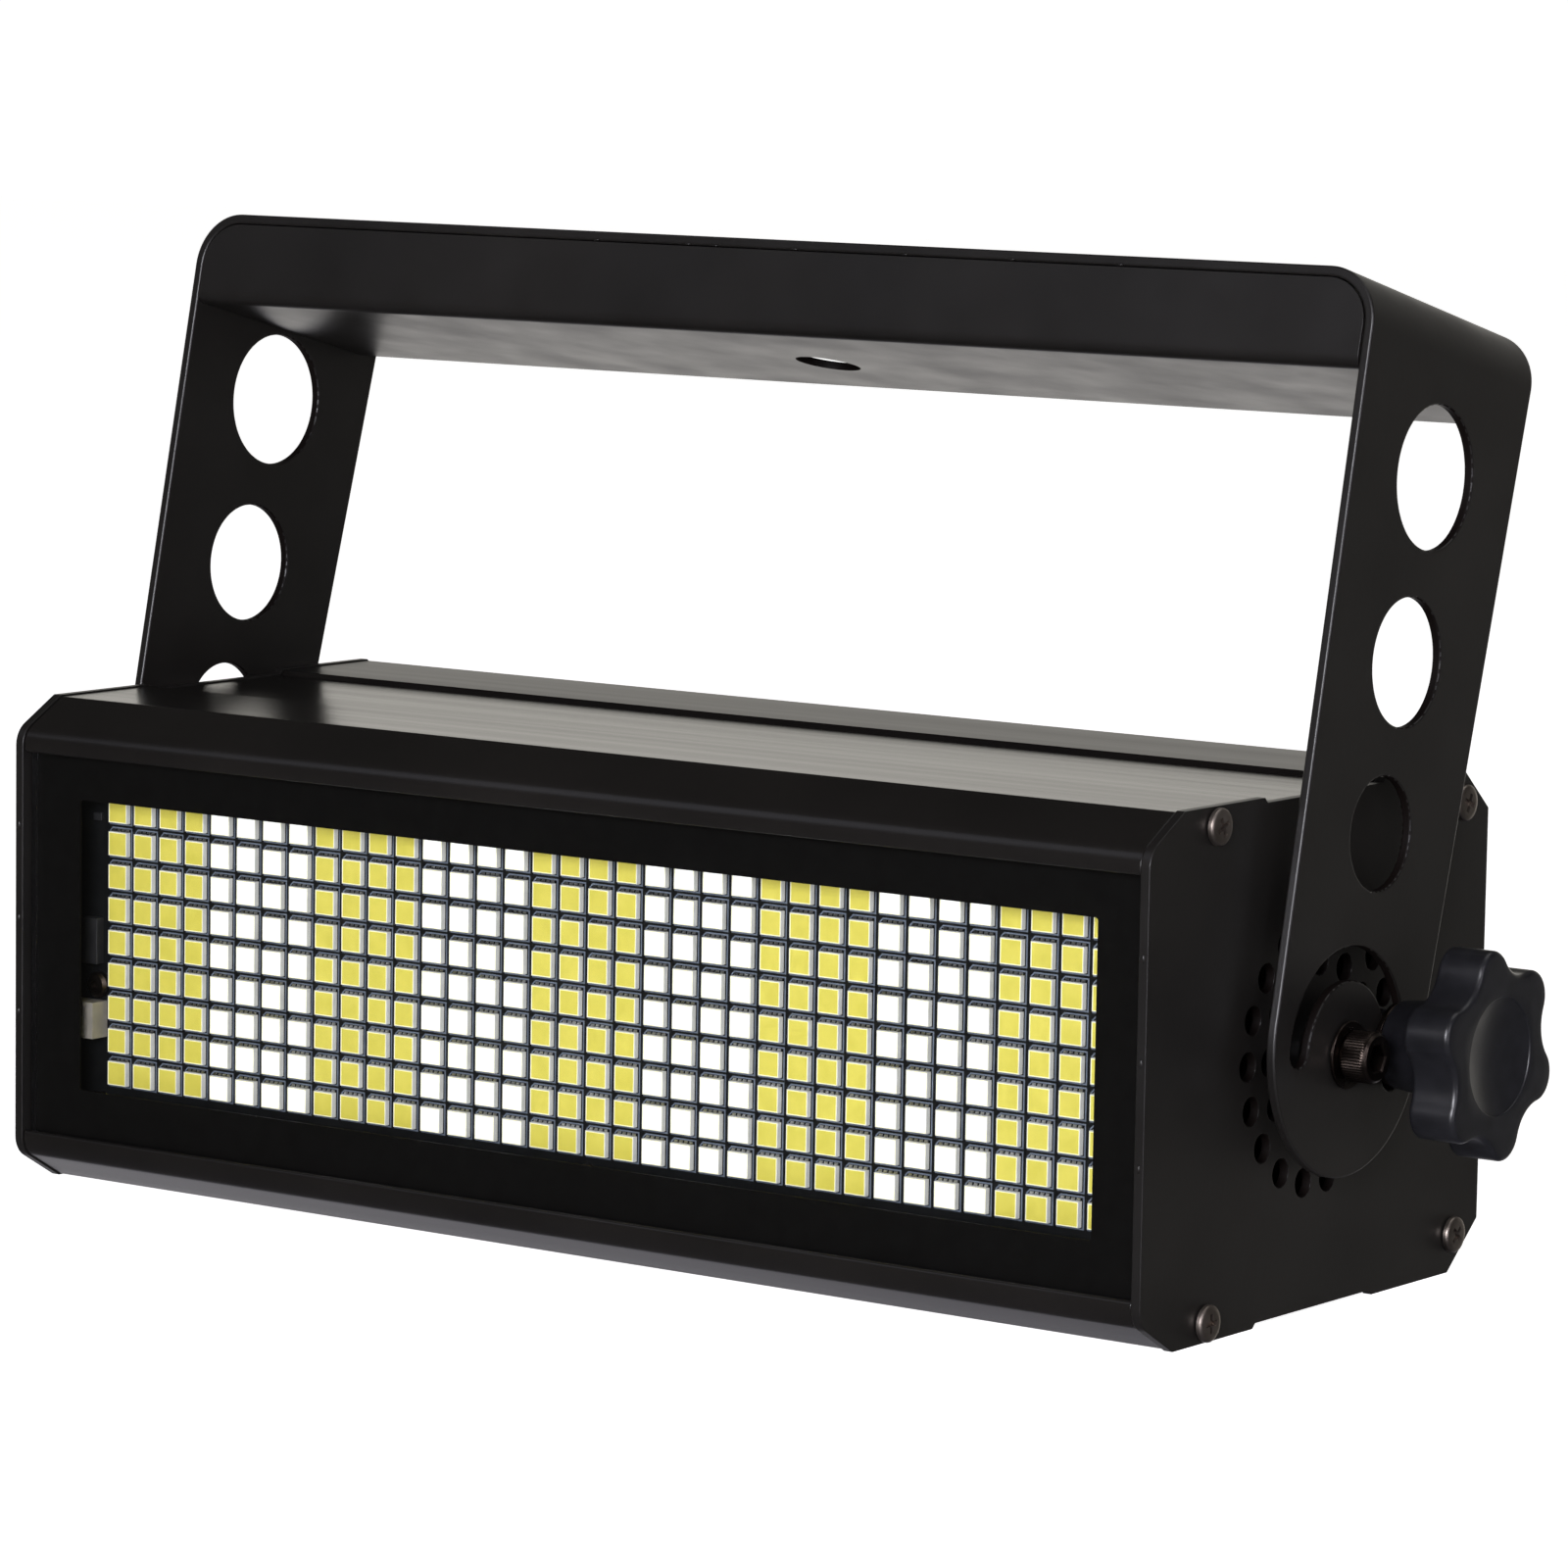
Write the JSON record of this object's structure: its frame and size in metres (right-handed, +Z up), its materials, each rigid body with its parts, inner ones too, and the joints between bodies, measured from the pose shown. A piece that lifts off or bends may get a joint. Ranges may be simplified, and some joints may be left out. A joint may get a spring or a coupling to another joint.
{
  "type": "strobe light",
  "caption": "Linear strobe light with a field of light diodes behind a glass window, in an extruded housing tilted and clamped in a forked yoke.",
  "frame": {"origin": "centre of the footprint, at the level the unit rests on", "axes": "+Z up, -Y out of the window, +X to the right of someone who faces the window, which is also the right of the picture"},
  "size_m": [0.3398, 0.127, 0.2004],
  "materials": {
    "black_extrusion": "black satin powder coat",
    "black_sheet": "black satin powder coat",
    "window_glass": "clear",
    "black_card": "matt print",
    "diodes": "yellow and white phosphor on a black board",
    "bare_aluminium": "as extruded",
    "white_plastic": "moulded",
    "circuit_board": "green solder mask",
    "zinc_steel": "zinc plated",
    "bronze_steel": "dark plated",
    "nickel_steel": "bright nickel",
    "black_plastic": "fine satin moulding",
    "smoked_lens": "smoked"
  },
  "bodies": {
    "housing": {"upper_profile": "black_extrusion", "lower_profile": "black_extrusion", "end_plate_right": "black_sheet", "end_plate_left": "black_sheet", "front_glass": "window_glass", "window_mask": "black_card", "diode_board": "diodes", "heat_sink": "bare_aluminium", "board_header": "white_plastic", "power_supply": "circuit_board", "driver_board": "circuit_board", "rear_panel": "black_sheet", "control_board": "circuit_board", "display_module": "black_plastic", "display_lens": "smoked_lens", "signal_in": "nickel_steel", "signal_out": "nickel_steel", "power_inlet": "black_plastic", "plate_screw_right_1": "bronze_steel", "plate_screw_left_1": "bronze_steel", "plate_screw_right_2": "bronze_steel", "plate_screw_left_2": "bronze_steel", "plate_screw_right_3": "bronze_steel", "plate_screw_left_3": "bronze_steel", "plate_screw_right_4": "bronze_steel", "plate_screw_left_4": "bronze_steel", "panel_screw_1": "bronze_steel", "panel_screw_2": "bronze_steel", "panel_screw_3": "bronze_steel", "panel_screw_4": "bronze_steel", "pivot_bolt_right": "nickel_steel", "pivot_bolt_left": "nickel_steel", "pivot_washer_right": "nickel_steel", "pivot_washer_left": "nickel_steel", "pivot_spacer_right": "zinc_steel", "pivot_spacer_left": "zinc_steel", "clamp_bush_right": "zinc_steel", "clamp_bush_left": "zinc_steel", "pivot_nut_right": "zinc_steel", "pivot_nut_left": "zinc_steel"},
    "yoke": {"yoke_frame": "black_sheet", "yoke_channel": "black_sheet"},
    "washer_right": {"knob_washer_right": "zinc_steel"},
    "knob_right": {"clamp_knob_right": "black_plastic", "clamp_stud_right": "zinc_steel"},
    "washer_left": {"knob_washer_left": "zinc_steel"},
    "knob_left": {"clamp_knob_left": "black_plastic", "clamp_stud_left": "zinc_steel"},
    "button_1": {"menu_button_1": "black_plastic"},
    "button_2": {"menu_button_2": "black_plastic"},
    "button_3": {"menu_button_3": "black_plastic"},
    "button_4": {"menu_button_4": "black_plastic"},
    "latch": {"signal_latch": "nickel_steel"},
    "fuse_drawer": {"fuse_drawer": "black_plastic"}
  },
  "joints": [
    {"name": "yoke_tilt", "type": "hinge", "parent": "housing", "child": "yoke", "pos_m": [0, -0.00272, 0.05075], "axis": [-1, 0, 0], "range_deg": [-19, 171]},
    {"name": "knob_advance_right", "type": "slide", "parent": "housing", "child": "washer_right", "axis": [1, 0, 0], "range_m": [0, 0.002]},
    {"name": "knob_turn_right", "type": "hinge", "parent": "washer_right", "child": "knob_right", "pos_m": [0.15, 0.01477, 0.05075], "axis": [1, 0, 0], "range_deg": [0, 720]},
    {"name": "knob_advance_left", "type": "slide", "parent": "housing", "child": "washer_left", "axis": [-1, 0, 0], "range_m": [0, 0.002]},
    {"name": "knob_turn_left", "type": "hinge", "parent": "washer_left", "child": "knob_left", "pos_m": [-0.15, 0.01477, 0.05075], "axis": [-1, 0, 0], "range_deg": [0, 720]},
    {"name": "press_1", "type": "slide", "parent": "housing", "child": "button_1", "axis": [0, -1, 0], "range_m": [0, 0.0008], "stiffness_N_per_m": 600, "springref_m": -0.001},
    {"name": "press_2", "type": "slide", "parent": "housing", "child": "button_2", "axis": [0, -1, 0], "range_m": [0, 0.0008], "stiffness_N_per_m": 600, "springref_m": -0.001},
    {"name": "press_3", "type": "slide", "parent": "housing", "child": "button_3", "axis": [0, -1, 0], "range_m": [0, 0.0008], "stiffness_N_per_m": 600, "springref_m": -0.001},
    {"name": "press_4", "type": "slide", "parent": "housing", "child": "button_4", "axis": [0, -1, 0], "range_m": [0, 0.0008], "stiffness_N_per_m": 600, "springref_m": -0.001},
    {"name": "latch_press", "type": "slide", "parent": "housing", "child": "latch", "axis": [0, -1, 0], "range_m": [0, 0.0015], "stiffness_N_per_m": 800, "springref_m": -0.001},
    {"name": "drawer_pull", "type": "slide", "parent": "housing", "child": "fuse_drawer", "axis": [0, 1, 0], "range_m": [0, 0.014]}
  ],
  "couplings": [
    {"joint": "knob_advance_right", "follows": "knob_turn_right", "m_per_rad": 0.00015915},
    {"joint": "knob_advance_left", "follows": "knob_turn_left", "m_per_rad": 0.00015915}
  ]
}
